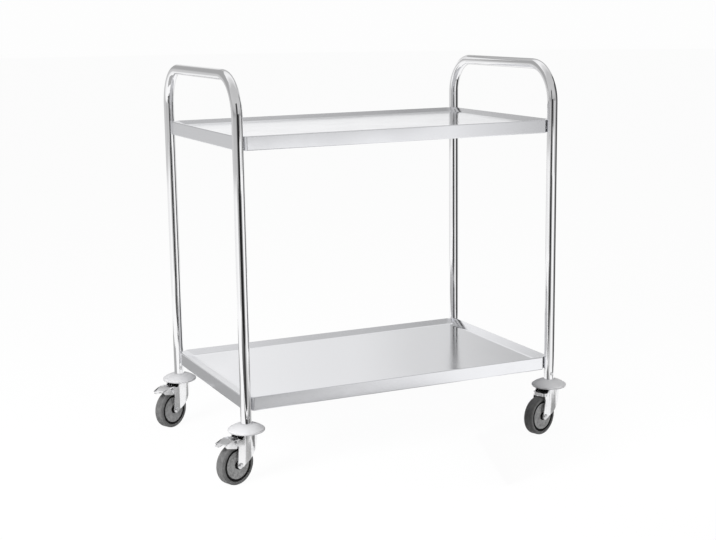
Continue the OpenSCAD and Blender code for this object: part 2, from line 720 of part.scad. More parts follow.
end_frame(-1);  // left_end_frame
end_frame(1);  // right_end_frame
tray(upper_tray_z);  // upper_tray
tray(lower_tray_z);  // lower_tray
tray_stiffeners(upper_tray_z);  // upper_tray_stiffeners
tray_stiffeners(lower_tray_z);  // lower_tray_stiffeners
tray_bolts(upper_tray_z);  // upper_tray_bolts
tray_bolts(lower_tray_z);  // lower_tray_bolts
tube_inserts();
cross_screws();
bumper(FRONT_LEFT);  // bumper_front_left
bumper(REAR_LEFT);  // bumper_rear_left
bumper(FRONT_RIGHT);  // bumper_front_right
bumper(REAR_RIGHT);  // bumper_rear_right
stem(FRONT_LEFT);  // stem_front_left
stem(REAR_LEFT);  // stem_rear_left
stem(FRONT_RIGHT);  // stem_front_right
stem(REAR_RIGHT);  // stem_rear_right
dust_cap(FRONT_LEFT);  // dust_cap_front_left
dust_cap(REAR_LEFT);  // dust_cap_rear_left
dust_cap(FRONT_RIGHT);  // dust_cap_front_right
dust_cap(REAR_RIGHT);  // dust_cap_rear_right
fork(FRONT_LEFT);  // fork_front_left
fork(REAR_LEFT);  // fork_rear_left
fork(FRONT_RIGHT);  // fork_front_right
fork(REAR_RIGHT);  // fork_rear_right
balls(FRONT_LEFT);  // balls_front_left
balls(REAR_LEFT);  // balls_rear_left
balls(FRONT_RIGHT);  // balls_front_right
balls(REAR_RIGHT);  // balls_rear_right
axle_bolt(FRONT_LEFT);  // axle_bolt_front_left
axle_bolt(REAR_LEFT);  // axle_bolt_rear_left
axle_bolt(FRONT_RIGHT);  // axle_bolt_front_right
axle_bolt(REAR_RIGHT);  // axle_bolt_rear_right
axle_nut(FRONT_LEFT);  // axle_nut_front_left
axle_nut(REAR_LEFT);  // axle_nut_rear_left
axle_nut(FRONT_RIGHT);  // axle_nut_front_right
axle_nut(REAR_RIGHT);  // axle_nut_rear_right
sleeve(FRONT_LEFT);  // sleeve_front_left
sleeve(REAR_LEFT);  // sleeve_rear_left
sleeve(FRONT_RIGHT);  // sleeve_front_right
sleeve(REAR_RIGHT);  // sleeve_rear_right
wheel_centre(FRONT_LEFT);  // wheel_centre_front_left
wheel_centre(REAR_LEFT);  // wheel_centre_rear_left
wheel_centre(FRONT_RIGHT);  // wheel_centre_front_right
wheel_centre(REAR_RIGHT);  // wheel_centre_rear_right
tyre(FRONT_LEFT);  // tyre_front_left
tyre(REAR_LEFT);  // tyre_rear_left
tyre(FRONT_RIGHT);  // tyre_front_right
tyre(REAR_RIGHT);  // tyre_rear_right
wheel_covers(FRONT_LEFT);  // wheel_covers_front_left
wheel_covers(REAR_LEFT);  // wheel_covers_rear_left
wheel_covers(FRONT_RIGHT);  // wheel_covers_front_right
wheel_covers(REAR_RIGHT);  // wheel_covers_rear_right
brake_pedal(FRONT_LEFT);  // brake_pedal_front_left
brake_pedal(REAR_LEFT);  // brake_pedal_rear_left
brake_pin(FRONT_LEFT);  // brake_pin_front_left
brake_pin(REAR_LEFT);  // brake_pin_rear_left
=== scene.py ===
"""Looks of the serving trolley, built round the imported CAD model. Metres, Z up, front is -Y."""

import json
import math

import bmesh
import bpy
from mathutils import Matrix, Vector


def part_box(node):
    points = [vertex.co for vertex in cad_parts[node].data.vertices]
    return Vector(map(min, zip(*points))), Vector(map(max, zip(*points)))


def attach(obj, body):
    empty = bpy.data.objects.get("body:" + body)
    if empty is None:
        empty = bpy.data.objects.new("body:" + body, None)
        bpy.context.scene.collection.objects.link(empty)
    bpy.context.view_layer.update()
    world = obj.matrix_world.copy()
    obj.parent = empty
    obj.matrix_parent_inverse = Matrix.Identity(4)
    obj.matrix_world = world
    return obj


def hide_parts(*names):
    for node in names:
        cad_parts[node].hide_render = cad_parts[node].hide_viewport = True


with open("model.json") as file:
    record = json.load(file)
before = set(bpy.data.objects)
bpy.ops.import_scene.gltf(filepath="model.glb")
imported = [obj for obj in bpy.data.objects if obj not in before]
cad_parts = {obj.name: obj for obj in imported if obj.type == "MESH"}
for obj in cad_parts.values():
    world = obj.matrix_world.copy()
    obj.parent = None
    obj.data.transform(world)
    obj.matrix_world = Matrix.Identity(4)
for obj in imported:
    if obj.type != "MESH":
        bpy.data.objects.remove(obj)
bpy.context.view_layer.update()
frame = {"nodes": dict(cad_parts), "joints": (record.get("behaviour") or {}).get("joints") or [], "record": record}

MM = 0.001
NODES = frame["nodes"]
JOINTS = {j["name"]: j for j in frame["joints"]}
CASTORS = ("front_left", "rear_left", "front_right", "rear_right")
BRAKED = ("front_left", "rear_left")
BODIES = frame["record"]["behaviour"]["bodies"]
BODY_OF = {node: body for body, held in BODIES.items() for node in held}
SLOT_OF = {s["node"]: s["material_slot"] for s in frame["record"]["subparts"]}

# Leg and wheel centres come from the joints; MID_X is the middle of the legs along X.
LEGS = {c: Vector(JOINTS["swivel_" + c]["pos_m"]) for c in CASTORS}
WHEELS = {c: Vector(JOINTS["roll_" + c]["pos_m"]) for c in CASTORS}
MID_X = (LEGS["front_left"].x + LEGS["front_right"].x) / 2
LEG_X = (LEGS["front_right"].x - LEGS["front_left"].x) / 2
LEG_Y = (LEGS["rear_left"].y - LEGS["front_left"].y) / 2


# Camera
CAMERA_TURNS = (24.886, 10.922, -0.791)  # yaw, pitch down and roll, in degrees
CAMERA_PLACE = (-1.4292, -3.0695, 1.0598)  # from the middle of the legs, on the floor
CAMERA_LENS = 69.37
CAMERA_SENSOR = 36
CAMERA_FAR = 60


def set_camera():
    yaw, pitch, roll = (math.radians(a) for a in CAMERA_TURNS)
    level = Vector((math.sin(yaw), math.cos(yaw), 0))
    look = level * math.cos(pitch) - Vector((0, 0, math.sin(pitch)))
    right = Vector((math.cos(yaw), -math.sin(yaw), 0))
    up = right.cross(look)
    right, up = (right * math.cos(roll) + up * math.sin(roll),
                 up * math.cos(roll) - right * math.sin(roll))
    data = bpy.data.cameras.new("camera")
    data.sensor_fit = "HORIZONTAL"
    data.sensor_width = CAMERA_SENSOR
    data.lens = CAMERA_LENS
    data.clip_end = CAMERA_FAR
    camera = bpy.data.objects.new("camera", data)
    turn = Matrix((right, up, -look)).transposed()
    place = Vector(CAMERA_PLACE) + Vector((MID_X, 0, 0))
    camera.matrix_world = Matrix.Translation(place) @ turn.to_4x4()
    bpy.context.scene.collection.objects.link(camera)
    bpy.context.scene.camera = camera


# Materials
MIDDLE = (0.3, 0.7)  # the part of a noise's range that most of its values lie in


class Shader:
    """A principled material with helpers for the nodes that feed it."""

    def __init__(self, name, color, metallic, roughness, **sockets):
        self.material = bpy.data.materials.new(name)
        self.material.use_nodes = True
        self.tree = self.material.node_tree
        self.bsdf = self.tree.nodes["Principled BSDF"]
        self.bsdf.inputs["Base Color"].default_value = (*color, 1)
        self.bsdf.inputs["Metallic"].default_value = metallic
        self.bsdf.inputs["Roughness"].default_value = roughness
        for socket, value in sockets.items():
            self.bsdf.inputs[socket.replace("_", " ")].default_value = value
        self.heights = []

    def node(self, kind, **inputs):
        made = self.tree.nodes.new(kind)
        for name, value in inputs.items():
            socket = made.inputs[name.replace("_", " ")]
            if hasattr(value, "links"):
                self.tree.links.new(value, socket)
            else:
                socket.default_value = value
        return made

    def place(self, stretch):
        """Object coordinates, stretched so that a pattern runs long along one axis."""
        coordinates = self.tree.nodes.new("ShaderNodeTexCoord").outputs["Object"]
        return self.node("ShaderNodeMapping", Vector=coordinates, Scale=stretch).outputs["Vector"]

    def noise(self, scale, detail=4.0, rough=0.55, stretch=(1, 1, 1)):
        return self.node("ShaderNodeTexNoise", Vector=self.place(stretch), Scale=scale, Detail=detail,
                         Roughness=rough).outputs["Fac"]

    def ramp(self, value, stops):
        made = self.node("ShaderNodeValToRGB", Fac=value)
        ramp = made.color_ramp
        while len(ramp.elements) < len(stops):
            ramp.elements.new(0.5)
        for element, (position, color) in zip(ramp.elements, stops):
            element.position = position
            element.color = (*color, 1)
        return made.outputs["Color"]

    def level(self, value, low, high):
        """Value, from its middle range, spread between low and high."""
        made = self.node("ShaderNodeMapRange", Value=value)
        made.inputs["From Min"].default_value = MIDDLE[0]
        made.inputs["From Max"].default_value = MIDDLE[1]
        made.inputs["To Min"].default_value = low
        made.inputs["To Max"].default_value = high
        return made.outputs["Result"]

    def vary_roughness(self, value, low, high):
        self.tree.links.new(self.level(value, low, high), self.bsdf.inputs["Roughness"])

    def vary_color(self, value, dark, pale):
        color = self.ramp(value, [(MIDDLE[0], dark), (MIDDLE[1], pale)])
        self.tree.links.new(color, self.bsdf.inputs["Base Color"])

    def bump(self, value, distance, strength):
        """Each bump is laid over the one before."""
        normal = self.heights[-1] if self.heights else None
        made = self.node("ShaderNodeBump", Height=value, Distance=distance, Strength=strength)
        if normal:
            self.tree.links.new(normal, made.inputs["Normal"])
        self.heights.append(made.outputs["Normal"])
        self.tree.links.new(made.outputs["Normal"], self.bsdf.inputs["Normal"])


def grey(level):
    return (level, level, level)


def make_materials():
    """One for each slot: tube and sheet are finely brushed, the rest has ripples or a grain."""
    made = {}

    tube = Shader("polished_tube", (0.93, 0.93, 0.94), 1.0, 0.1)
    tube.vary_roughness(tube.noise(22, stretch=(1, 1, 0.4)), 0.035, 0.08)
    tube.bump(tube.noise(900, 2, stretch=(1, 1, 0.06)), 0.00002, 0.5)
    made["frame_tube"] = tube

    for name in ("tray_sheet", "stiffener_sheet"):
        sheet = Shader(name, (0.87, 0.875, 0.9), 1.0, 0.2)
        sheet.vary_roughness(sheet.noise(9), 0.12, 0.19)
        sheet.bump(sheet.noise(1400, 3, stretch=(0.04, 1, 1)), 0.00002, 0.35)
        sheet.bump(sheet.noise(3.0, 2), 0.002, 0.12)
        made[name] = sheet

    castor = Shader("plated_pressing", (0.9, 0.9, 0.91), 1.0, 0.16)
    castor.vary_roughness(castor.noise(60), 0.1, 0.22)
    castor.bump(castor.noise(90, 2), 0.0003, 0.2)
    made["castor_steel"] = castor

    zinc = Shader("plated_fixing", (0.72, 0.72, 0.73), 1.0, 0.28)
    zinc.vary_roughness(zinc.noise(300), 0.2, 0.36)
    zinc.bump(zinc.noise(1200, 2), 0.00003, 0.4)
    made["zinc_steel"] = zinc

    bumper = Shader("bumper_plastic", (0.56, 0.56, 0.57), 0.0, 0.45)
    bumper.vary_color(bumper.noise(14), (0.5, 0.5, 0.51), (0.57, 0.57, 0.58))
    bumper.vary_roughness(bumper.noise(40), 0.38, 0.55)
    bumper.bump(bumper.noise(1500, 3), 0.00005, 0.5)
    made["bumper_plastic"] = bumper

    for name, color, gloss in (("dark_plastic", 0.008, 0.25), ("wheel_plastic", 0.006, 0.1)):
        dark = Shader(name, grey(color), 0.0, 0.6, Specular_IOR_Level=gloss)
        dark.vary_roughness(dark.noise(120), 0.5, 0.75)
        dark.bump(dark.noise(1800, 3), 0.00004, 0.5)
        made[name] = dark

    cover = Shader("cover_plastic", grey(0.25), 0.0, 0.5)
    cover.vary_color(cover.noise(140, 6, 0.7), grey(0.19), grey(0.36))
    cover.vary_roughness(cover.noise(90), 0.4, 0.6)
    cover.bump(cover.noise(900, 3), 0.0001, 0.6)
    made["cover_plastic"] = cover

    tyre = Shader("tyre_rubber", grey(0.14), 0.0, 0.7)
    tyre.vary_color(tyre.noise(90, 8, 0.7), grey(0.085), grey(0.15))
    tyre.vary_roughness(tyre.noise(80), 0.6, 0.85)
    tyre.bump(tyre.noise(700, 4), 0.00015, 0.7)
    made["tyre_rubber"] = tyre
    return made


# Mesh helpers
WELD = 0.000002
FLAT_ANGLE = math.radians(0.5)
BEVEL_ANGLE = math.radians(32)
LATHE_STEPS = 128


def make_object(name, bm, body, slot, replaced, smooth_angle):
    """A smooth-shaded object that rides on a body; edges sharper than the angle stay sharp."""
    mesh = bpy.data.meshes.new(name)
    bmesh.ops.recalc_face_normals(bm, faces=bm.faces)
    bm.to_mesh(mesh)
    bm.free()
    made = bpy.data.objects.new(name, mesh)
    bpy.context.scene.collection.objects.link(made)
    for polygon in mesh.polygons:
        polygon.use_smooth = True
    mesh.set_sharp_from_angle(angle=math.radians(smooth_angle))
    made.data.materials.append(MATERIALS[slot].material)
    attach(made, body)
    if replaced:
        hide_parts(*replaced)
    return made


def skin(bm, loops, closed=False):
    """Joins rings of points into one surface, round to the first ring or capped at both ends."""
    rings = [[bm.verts.new(p) for p in loop] for loop in loops]
    count = len(rings[0])
    following = rings[1:] + rings[:1] if closed else rings[1:]
    for a, b in zip(rings, following):
        for i in range(count):
            j = (i + 1) % count
            bm.faces.new((a[i], a[j], b[j], b[i]))
    if not closed:
        bm.faces.new(rings[0])
        bm.faces.new(rings[-1])


def arc(cx, cy, r, start, end, steps):
    """Points of an arc between two angles in degrees."""
    angles = [math.radians(start + (end - start) * i / steps) for i in range(steps + 1)]
    return [(cx + r * math.cos(a), cy + r * math.sin(a)) for a in angles]


def quarter_turn(steps):
    """Angles from 0 to 90 degrees, in radians."""
    return [math.radians(90 * i / steps) for i in range(steps + 1)]


def lathe(bm, profile, place):
    """Turns a closed profile of (radius, height) about the local Z axis."""
    loops = []
    for k in range(LATHE_STEPS):
        a = 2 * math.pi * k / LATHE_STEPS
        loops.append([place @ Vector((r * math.cos(a), r * math.sin(a), z)) for r, z in profile])
    skin(bm, loops, closed=True)


def weighted(made):
    modifier = made.modifiers.new("normals", "WEIGHTED_NORMAL")
    modifier.keep_sharp = True


def bevelled(node, width, segments=2):
    """Draws a CAD node again with its edges rounded, as pressed and turned parts have them."""
    bm = bmesh.new()
    bm.from_mesh(NODES[node].data)
    bmesh.ops.remove_doubles(bm, verts=bm.verts, dist=WELD)
    bmesh.ops.dissolve_limit(bm, angle_limit=FLAT_ANGLE, verts=bm.verts, edges=bm.edges)
    made = make_object(node + "_part", bm, BODY_OF[node], SLOT_OF[node], (node,), smooth_angle=30)
    bevel = made.modifiers.new("edges", "BEVEL")
    bevel.width = width
    bevel.segments = segments
    bevel.limit_method = "ANGLE"
    bevel.angle_limit = BEVEL_ANGLE
    bevel.use_clamp_overlap = True
    weighted(made)


# Trays
TUBE_CLEAR = 12.7 * MM  # from a leg's axis to the tray's cut corner
SHEET = 1 * MM
BAND_W = 31 * MM  # the sloping band, from the tray's side to the deck
BAND_DROP = 9 * MM
BAND_START = 2.2 * MM  # from the tray's side to where the slope starts
HEM_W = 9 * MM
EDGE_R = 2 * MM
EDGE_STEPS = 6
EDGE_INSIDE = 2.4 * MM  # from the tray's side to where the sheet's inside turns
FOLD_R = 30 * MM
FOLD_STEPS = 6
CORNER_R = 1.6 * MM
CORNER_STEPS = 4


def tray_loop(hx, hy, reach, inset, z):
    """One ring round a tray: a rectangle with cut corners, each corner a small arc."""
    x, y, k = hx - inset, hy - inset, (reach - inset) * math.sqrt(2)
    points = [(x, k - x), (k - y, y), (y - k, y), (-x, k - x),
              (-x, x - k), (y - k, -y), (k - y, -y), (x, x - k)]
    ring = []
    for i, p in enumerate(points):
        p = Vector(p)
        a = (Vector(points[i - 1]) - p).normalized()
        b = (Vector(points[(i + 1) % len(points)]) - p).normalized()
        half = a.angle(b) / 2
        centre = p + (a + b).normalized() * (CORNER_R / math.sin(half))
        start = p + a * (CORNER_R / math.tan(half)) - centre
        end = p + b * (CORNER_R / math.tan(half)) - centre
        for step in range(CORNER_STEPS + 1):
            q = centre + start.lerp(end, step / CORNER_STEPS).normalized() * CORNER_R
            ring.append(Vector((MID_X + q.x, q.y, z)))
    return ring


def fold_at_deck(z):
    """The soft fold where the sloping band runs into the deck, as (inset, height) points."""
    slope = math.atan2(BAND_DROP, BAND_W - BAND_START)
    middle = BAND_W + FOLD_R * math.tan(slope / 2)
    return arc(middle, z + FOLD_R, FOLD_R, 270 - math.degrees(slope), 270, FOLD_STEPS)


def build_tray(node):
    """Sweeps the folded sheet's outline, as (inset, height) points, round the tray."""
    low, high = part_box(node)
    hx, hy = (high.x - low.x) / 2, (high.y - low.y) / 2
    top, foot = high.z, low.z
    reach = (LEG_X + LEG_Y) / math.sqrt(2) - TUBE_CLEAR
    fold = fold_at_deck(top - BAND_DROP)
    quarter = quarter_turn(EDGE_STEPS)

    above = [(EDGE_R - EDGE_R * math.cos(a), top - EDGE_R + EDGE_R * math.sin(a)) for a in quarter]
    above += [(EDGE_R + 0.8 * MM, top - 0.25 * MM)] + fold
    below = [(inset, z - SHEET) for inset, z in reversed(fold)]
    below += [(EDGE_INSIDE, top - 1.6 * MM), (SHEET, top - 3 * MM), (SHEET, foot + 2.2 * MM)]
    below += [(SHEET + 0.4 * MM, foot + 1.3 * MM), (EDGE_INSIDE, foot + SHEET)]
    below += [(HEM_W, foot + SHEET), (HEM_W, foot)]
    below += [(EDGE_R - EDGE_R * math.sin(a), foot + EDGE_R - EDGE_R * math.cos(a)) for a in quarter]
    bm = bmesh.new()
    skin(bm, [tray_loop(hx, hy, reach, inset, z) for inset, z in below + above])
    weighted(make_object(node + "_sheet", bm, "trolley", "tray_sheet", (node,), smooth_angle=25))


# End frames
BEND_R = 90 * MM
BEND_STEPS = 28
TUBE_SIDES = 96


def build_end_frame(node):
    """Sweeps the tube up one leg, over the handle and down the other leg."""
    low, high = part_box(node)
    r = (high.x - low.x) / 2
    x = (low.x + high.x) / 2
    bend_z, inner_y = high.z - r - BEND_R, LEG_Y - BEND_R
    half_z = low.z + (bend_z - low.z) / 2
    quarter = quarter_turn(BEND_STEPS)
    path = [(-LEG_Y, low.z, 0), (-LEG_Y, half_z, 0)]
    path += [(-inner_y - BEND_R * math.cos(a), bend_z + BEND_R * math.sin(a), a) for a in quarter]
    path += [(inner_y + BEND_R * math.sin(a), bend_z + BEND_R * math.cos(a), math.pi / 2 + a)
             for a in quarter]
    path += [(LEG_Y, half_z, math.pi), (LEG_Y, low.z, math.pi)]
    round_tube = [2 * math.pi * k / TUBE_SIDES for k in range(TUBE_SIDES)]
    across = Vector((1, 0, 0))
    loops = []
    for y, z, turn in path:
        side = Vector((0, -math.cos(turn), math.sin(turn)))
        loops.append([Vector((x, y, z)) + r * (math.cos(b) * side + math.sin(b) * across)
                      for b in round_tube])
    bm = bmesh.new()
    skin(bm, loops)
    make_object(node + "_tube", bm, "trolley", "frame_tube", (node,), smooth_angle=60)


# Bumpers
BUMPER_EDGE = 4.6 * MM  # radius of the round edge
BUMPER_BULGE = 2.2 * MM
BUMPER_BORE_R = 12 * MM
SOCKET_R = 12.65 * MM
SOCKET_FLOOR = 6 * MM
DOME_STEPS = 14


def build_bumper(castor):
    """A round-edged disc with a domed top and a socket for the leg."""
    node = "bumper_" + castor
    low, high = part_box(node)
    edge_r = (high.x - low.x) / 2
    height = high.z - low.z
    lip_r = SOCKET_R + 1.2 * MM
    dome_r, dome_z = edge_r - 0.4 * MM, BUMPER_EDGE + 1.9 * MM
    profile = [(BUMPER_BORE_R, 0)]
    profile += arc(edge_r - BUMPER_EDGE, BUMPER_EDGE, BUMPER_EDGE, -90, 24, 14)
    for i in range(1, DOME_STEPS + 1):
        k = i / DOME_STEPS
        rise = k * (height - dome_z) + 4 * BUMPER_BULGE * k * (1 - k)
        profile.append((dome_r - k * (dome_r - lip_r), dome_z + rise))
    profile += [(lip_r - 0.5 * MM, height + 0.05 * MM), (SOCKET_R, height - 0.4 * MM)]
    profile += [(SOCKET_R, SOCKET_FLOOR), (BUMPER_BORE_R, SOCKET_FLOOR)]
    bm = bmesh.new()
    lathe(bm, profile, Matrix.Translation((LEGS[castor].x, LEGS[castor].y, low.z)))
    make_object(node + "_disc", bm, "trolley", "bumper_plastic", (node,), smooth_angle=50)


# Wheels
TYRE_HALF = 12.5 * MM
TYRE_LIP_R = 38.4 * MM
TYRE_SEAT_R = 35.35 * MM
TYRE_SEAT_HALF = 6.35 * MM
SHOULDER_R = 5 * MM
GROOVE = 0.6 * MM

COVER_HUB_R = 9.8 * MM
COVER_EDGE_R = 32.2 * MM
COVER_FACE = 12.1 * MM
COVER_SEAT = 6.5 * MM
COVER_TURNS = 168
COVER_RINGS = 30
RIDGE_H, RIDGE_R = 0.3 * MM, 14 * MM  # a low ridge round the hub, out to this radius
DISH_DEPTH, DISH_R, DISH_W = 0.9 * MM, 15 * MM, 5 * MM
RISE_H, RISE_R, RISE_W = 0.5 * MM, 30.4 * MM, 1.6 * MM  # the face rises again near its edge
DENTS = 12
DENT_AT_R = 24.5 * MM
DENT_SIZE = 3 * MM
DENT_DEPTH = 1.0 * MM

RING_INNER_R, RING_OUTER_R = 33.0 * MM, 38.2 * MM
RING_LOW, RING_HIGH = 6.6 * MM, 11.3 * MM
RING_EDGE = 0.3 * MM


def axle_place(castor):
    """Local Z runs along the axle, from the middle of the wheel."""
    axis = Vector(JOINTS["roll_" + castor]["axis"])
    turn = axis.to_track_quat("Z", "Y").to_matrix().to_4x4()
    return Matrix.Translation(WHEELS[castor]) @ turn


def build_tyre(castor):
    """Half of the profile runs from the seat over the lip and shoulder to the tread."""
    r, half, lip = WHEELS[castor].z, TYRE_HALF, TYRE_LIP_R
    centre = (r - SHOULDER_R, half - SHOULDER_R)
    side = arc(*centre, SHOULDER_R, 90, 54, 4)
    side += arc(*centre, SHOULDER_R - GROOVE, 51, 42, 2)
    side += arc(*centre, SHOULDER_R, 39, 0, 5)
    upper = [(TYRE_SEAT_R, TYRE_SEAT_HALF), (lip, TYRE_SEAT_HALF), (lip, half - 1.2 * MM),
             (lip + 0.4 * MM, half - 0.4 * MM), (lip + 1.2 * MM, half)] + side
    tread = [(r, 0.35 * MM), (r - 0.2 * MM, 0)]
    profile = upper + tread + [(a, -b) for a, b in reversed(upper + tread[:1])]
    bm = bmesh.new()
    lathe(bm, profile, axle_place(castor))
    node = "tyre_" + castor
    make_object(node + "_rubber", bm, "wheel_" + castor, "tyre_rubber", (node,), smooth_angle=50)


def eased(value, start, width):
    """Rises from 0 to 1 between start and start + width, level at both ends."""
    k = max(0.0, min(1.0, (value - start) / width))
    return k * k * (3 - 2 * k)


def cover_height(r, a):
    """Height of a cover's face at radius r and angle a."""
    height = COVER_FACE - RIDGE_H
    if r < RIDGE_R:
        height += RIDGE_H * math.sin(math.pi * (r - COVER_HUB_R) / (RIDGE_R - COVER_HUB_R)) ** 2
    height -= DISH_DEPTH * eased(r, DISH_R, DISH_W)
    height += RISE_H * eased(r, RISE_R, RISE_W)
    away = a * DENTS / (2 * math.pi)
    away = (away - round(away)) * 2 * math.pi / DENTS * r
    return height - DENT_DEPTH * math.exp(-((r - DENT_AT_R) ** 2 + away ** 2) / DENT_SIZE ** 2)


def build_covers(castor):
    """Two dished covers with a ring of shallow dents round the hub."""
    hub, edge, face, seat = COVER_HUB_R, COVER_EDGE_R, COVER_FACE, COVER_SEAT
    radii = [hub + (edge - hub) * i / COVER_RINGS for i in range(COVER_RINGS + 1)]
    turn = axle_place(castor)
    bm = bmesh.new()
    for side in (1, -1):
        loops = []
        for k in range(COVER_TURNS):
            a = 2 * math.pi * k / COVER_TURNS
            loop = [(hub, face - 2 * MM), (hub, face - 0.5 * MM)]
            loop += [(r, cover_height(r, a)) for r in radii]
            loop += [(edge + 0.5 * MM, face - 1.0 * MM), (edge + 0.6 * MM, seat + 0.5 * MM)]
            loop += [(edge, seat), (hub + 4 * MM, seat)]
            loops.append([turn @ Vector((r * math.cos(a), side * r * math.sin(a), side * z))
                          for r, z in loop])
        skin(bm, loops, closed=True)
    name = "wheel_covers_" + castor
    make_object(name + "_dished", bm, "wheel_" + castor, "cover_plastic", (name,), smooth_angle=40)


def build_rim_rings(castor):
    """The black flange that shows between each cover and the tyre."""
    low, high, inner, outer, edge = RING_LOW, RING_HIGH, RING_INNER_R, RING_OUTER_R, RING_EDGE
    profile = [(inner, low), (outer, low), (outer, high - edge), (outer - edge, high),
               (inner + edge, high), (inner, high - edge)]
    bm = bmesh.new()
    for side in (1, -1):
        lathe(bm, [(r, side * z) for r, z in profile], axle_place(castor))
    make_object("wheel_rim_" + castor, bm, "wheel_" + castor, "wheel_plastic", (), smooth_angle=50)


def finish_small_parts():
    for castor in CASTORS:
        build_rim_rings(castor)
        build_bumper(castor)
        build_tyre(castor)
        build_covers(castor)
        bevelled("fork_" + castor, 0.5 * MM, 3)
        bevelled("axle_bolt_" + castor, 0.3 * MM)
        bevelled("axle_nut_" + castor, 0.3 * MM)
    for castor in BRAKED:
        bevelled("brake_pedal_" + castor, 0.4 * MM, 3)
        bevelled("brake_pin_" + castor, 0.3 * MM)
    for node in ("upper_tray_stiffeners", "lower_tray_stiffeners"):
        bevelled(node, 0.4 * MM)


# Stage
# The cards and walls glow and are seen only in polished surfaces. A card's levels are
# (position, strength), with the position from 0 to 1 across its box along one axis.
STUDIO_H = 3.0
WALL_STEPS = 48
FLOOR_R = 28
FLOOR_GREY = 0.92
FLOOR_GLOW = 0.96  # share of plain white where the floor is seen
WORLD_SOFT = 0.28
WORLD_WHITE = 0.985
SEEN_RAYS = ("Is Camera Ray", "Is Glossy Ray", "Is Transmission Ray")

# Height and strength: the upper part of the front walls, and the whole of the back walls
HIGH = [(0.92, 0.36), (1.1, 0.5), (1.5, 0.58), (STUDIO_H, 0.55)]
BACK = [(0, 0.72), (0.5, 0.74), (0.64, 0.85), (0.77, 0.96), (1.0, 1.0), (1.6, 0.55),
        (1.72, 0.5), (1.88, 0.33), (2.1, 0.5), (2.6, 0.54), (STUDIO_H, 0.8)]

# Name, radius, start and end angle, and (height, strength)
WALLS = [
    ("wall_front_left", 2.3, 165, 275, [(0, 1.0), (0.36, 1.0), (0.52, 0.56)] + HIGH),
    ("wall_front_right", 2.0, 275, 380, [(0, 1.0), (0.6, 1.0), (0.68, 0.4)] + HIGH),
    ("wall_back_right", 2.05, 15, 60, BACK),
    ("wall_back", 2.05, 60, 100, BACK),
    ("wall_left", 2.05, 100, 170,
     [(0, 0.92), (0.38, 0.9), (0.5, 0.62), (0.75, 0.6), (1.2, 0.4), (STUDIO_H, 0.4)]),
]

# Name, the foot's two ends, the lower and upper height, and levels along X
UPRIGHT_CARDS = [
    ("flag_handle", (-1.25, -1.45), (-0.3, -1.45), 0.95, 1.6,
     [(0, 0.4), (0.3, 0.06), (0.75, 0.03), (1, 0.35)]),
    ("flag_right_high", (1.75, -0.6), (1.9, 0.1), 1.0, 2.0,
     [(0, 0.35), (0.3, 0.12), (0.7, 0.12), (1, 0.35)]),
    ("card_rim", (-0.2, 1.25), (1.3, 1.25), 1.1, 1.5,
     [(0, 0.9), (0.25, 0.78), (0.6, 0.58), (1, 0.45)]),
    ("flag_front", (-1.75, -1.5), (0.5, -1.5), 0.0, 0.5,
     [(0, 0.8), (0.08, 0.6), (0.17, 0.1), (0.26, 0.03), (0.6, 0.01), (0.71, 0.1), (0.8, 0.3),
      (0.97, 1.0)]),
    ("flag_front_left", (-2.1, -0.85), (-1.74, -1.48), 0.0, 0.5,
     [(0, 1.0), (0.28, 0.85), (0.5, 0.42), (0.7, 0.32), (1, 0.5)]),
    ("flag_front_top", (-0.1, -1.5), (0.45, -1.5), 0.68, 0.95,
     [(0, 0.03), (0.12, 0.06), (0.3, 0.28), (1, 0.35)]),
    ("flag_front_high", (-1.5, -1.5), (-0.1, -1.5), 0.5, 0.95,
     [(0, 0.5), (0.25, 0.3), (0.42, 0.05), (0.8, 0.005), (1, 0.03)]),
    ("flag_right", (0.8, -0.7), (1.35, 0.35), 0.0, 1.2,
     [(0, 0.5), (0.2, 0.15), (0.4, 0.02), (0.62, 0.1), (1, 0.35)]),
    ("flag_front_right", (0.8, -1.6), (1.5, -1.2), 0.5, 0.85,
     [(0, 1.0), (0.25, 0.78), (0.5, 0.56), (1, 0.36)]),
    ("flag_back_right", (0.35, 1.95), (1.75, 1.2), 0.3, 0.9,
     [(0, 0.9), (0.29, 0.84), (0.5, 0.72), (0.75, 0.56), (1, 0.4)]),
]

# Name, height over the floor, two opposite corners, and levels along X
FLOOR_CARDS = [
    ("flag_floor", 0.004, (-1.75, -1.5), (0.5, -0.79),
     [(0, 0.9), (0.1, 0.5), (0.2, 0.2), (0.42, 0.08), (0.54, 0.03), (0.61, 0.03), (0.66, 0.2),
      (0.7, 0.4), (0.78, 0.5), (0.85, 0.7), (0.93, 0.88), (1, 1.0)]),
    ("flag_floor_near", 0.004, (-1.0, -0.74), (0.45, -0.6),
     [(0, 0.8), (0.14, 0.5), (0.24, 0.08), (0.42, 0.02), (0.52, 0.2), (0.62, 0.5), (0.72, 0.4),
      (0.8, 0.4), (0.9, 0.6), (1, 1.0)]),
    ("flag_floor_mid", 0.004, (-0.15, -0.73), (0.35, -0.3), [(0, 0.16), (0.6, 0.25), (1, 0.6)]),
    ("flag_floor_right", 0.004, (0.78, -0.76), (1.25, -0.35), [(0, 0.4), (1, 0.3)]),
    ("flag_floor_left", 0.004, (-1.2, 0.1), (-0.45, 1.2), [(0, 0.42), (1, 0.42)]),
    ("flag_under_left", 0.003, (-0.3, 0.11), (0.1, 0.28), [(0, 0.38), (1, 0.38)]),
    ("flag_under_right", 0.003, (0.0, -0.24), (0.26, -0.06), [(0, 0.3), (1, 0.3)]),
]

